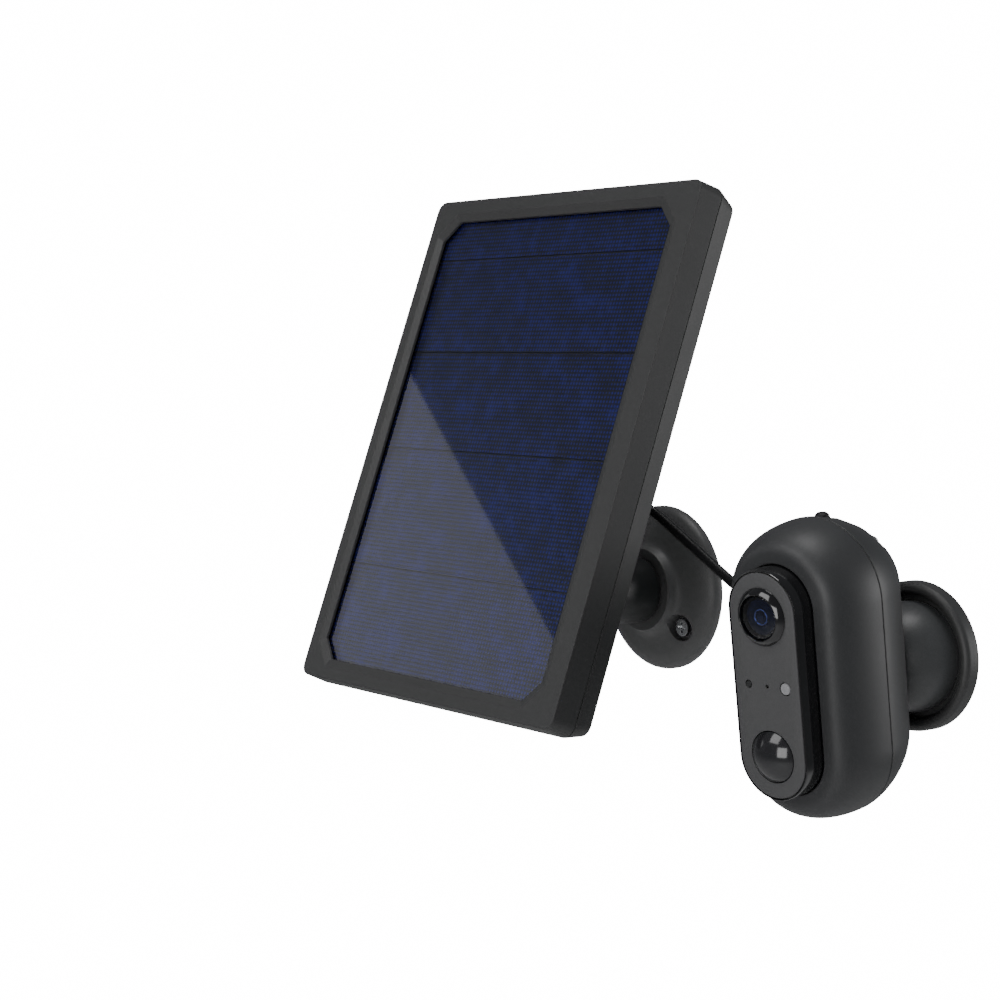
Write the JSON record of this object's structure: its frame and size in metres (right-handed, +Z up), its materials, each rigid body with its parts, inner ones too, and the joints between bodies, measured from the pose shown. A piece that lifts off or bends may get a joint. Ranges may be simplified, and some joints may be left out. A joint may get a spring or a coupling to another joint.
{
  "type": "solar-powered security camera",
  "caption": "Wall-mounted solar panel on a ball-jointed bracket, wired by a charging lead to a pill-shaped battery camera on a magnetic dome mount.",
  "frame": {"origin": "centre of the back face of the solar panel's wall base, on the wall", "axes": "+Z up, +X to the right along the wall seen from the front, +Y into the wall; the whole device stands off the wall towards -Y"},
  "size_m": [0.2245, 0.1141, 0.1994],
  "materials": {
    "housing": "fine moulded texture",
    "dark": "satin",
    "gloss": "polished",
    "rubber": "satin",
    "glass": "clear",
    "cell": "printed grid",
    "steel": "zinc plated",
    "brass": "turned",
    "board": "solder resist",
    "white": "smooth",
    "battery": "shrink sleeve"
  },
  "bodies": {
    "wall": {"wall_base": "housing", "wall_screw_1": "steel", "wall_screw_2": "steel", "mount_base": "housing", "mount_screw_1": "steel", "mount_screw_2": "steel", "lead_panel_end": "rubber", "lead_coil": "rubber", "coil_tie": "dark", "lead": "rubber"},
    "arm": {"bracket_arm": "dark"},
    "clamp": {"clamp_ring": "dark"},
    "ball": {"ball_stud": "steel"},
    "nut": {"lock_nut": "dark"},
    "panel": {"panel_frame": "housing", "cover_glass": "glass", "solar_cell_1": "cell", "solar_cell_2": "cell", "solar_cell_3": "cell", "solar_cell_4": "cell", "solar_cell_5": "cell", "back_sheet": "white", "panel_seal": "rubber", "back_cover": "housing", "cover_screw_1": "steel", "cover_screw_2": "steel", "cover_screw_3": "steel", "cover_screw_4": "steel", "thread_insert": "brass", "charge_board": "board", "cable_gland": "rubber"},
    "dome": {"steel_dome": "steel"},
    "seat": {"seat_magnet": "steel"},
    "camera": {"front_shell": "housing", "rear_shell": "housing", "shell_screw_1": "steel", "shell_screw_2": "steel", "shell_screw_3": "steel", "shell_seal": "rubber", "front_insert": "gloss", "face_plate": "housing", "status_light": "white", "light_sensor": "dark", "microphone": "steel", "lens_ring": "gloss", "lens_glass": "glass", "lens_barrel": "dark", "sensor_board": "board", "motion_lens": "gloss", "motion_sensor": "steel", "main_board": "board", "speaker": "dark", "battery_1": "battery", "battery_2": "battery", "button_switch": "dark", "usb_port": "steel", "lead_plug": "rubber"},
    "button": {"top_button": "rubber"},
    "flap": {"card_flap": "rubber"}
  },
  "joints": [
    {"name": "arm_turn", "type": "hinge", "parent": "wall", "child": "arm", "pos_m": [0, 0, 0], "axis": [0, -1, 0], "range_deg": [-20, 90], "deforming": ["lead_panel_end"]},
    {"name": "clamp_turn", "type": "hinge", "parent": "arm", "child": "clamp", "pos_m": [0, -0.058, 0], "axis": [0, -1, 0], "range_deg": [0, 90]},
    {"name": "panel_tilt", "type": "hinge", "parent": "arm", "child": "ball", "pos_m": [0, -0.058, 0], "axis": [-1, 0, 0], "range_deg": [-35, 12], "deforming": ["lead_panel_end"]},
    {"name": "nut_spin", "type": "hinge", "parent": "ball", "child": "nut", "pos_m": [0, -0.058, 0], "axis": [0, -0.9397, 0.342], "range_deg": [-180, 180]},
    {"name": "panel_turn", "type": "hinge", "parent": "ball", "child": "panel", "pos_m": [0, -0.058, 0], "axis": [0, -0.9397, 0.342], "range_deg": [-20, 90], "deforming": ["lead_panel_end"]},
    {"name": "dome_spin", "type": "hinge", "parent": "wall", "child": "dome", "pos_m": [0.1227, -0.005, -0.0109], "axis": [0, -1, 0], "range_deg": [-60, 60], "deforming": ["lead"]},
    {"name": "camera_tilt", "type": "hinge", "parent": "dome", "child": "seat", "pos_m": [0.1227, -0.005, -0.0109], "axis": [-0.8388, 0, -0.5444], "range_deg": [-18, 35], "deforming": ["lead"]},
    {"name": "camera_roll", "type": "hinge", "parent": "seat", "child": "camera", "pos_m": [0.1227, -0.005, -0.0109], "axis": [0.0881, -0.9868, -0.1357], "range_deg": [-45, 45], "deforming": ["lead"]},
    {"name": "button_press", "type": "slide", "parent": "camera", "child": "button", "axis": [-0.0121, 0.1352, -0.9907], "range_m": [0, 0.0008], "stiffness_N_per_m": 1500, "springref_m": -0.0006},
    {"name": "flap_open", "type": "hinge", "parent": "camera", "child": "flap", "pos_m": [0.12561, -0.03762, 0.03363], "axis": [-0.996, -0.0889, 0], "range_deg": [0, 100]}
  ]
}
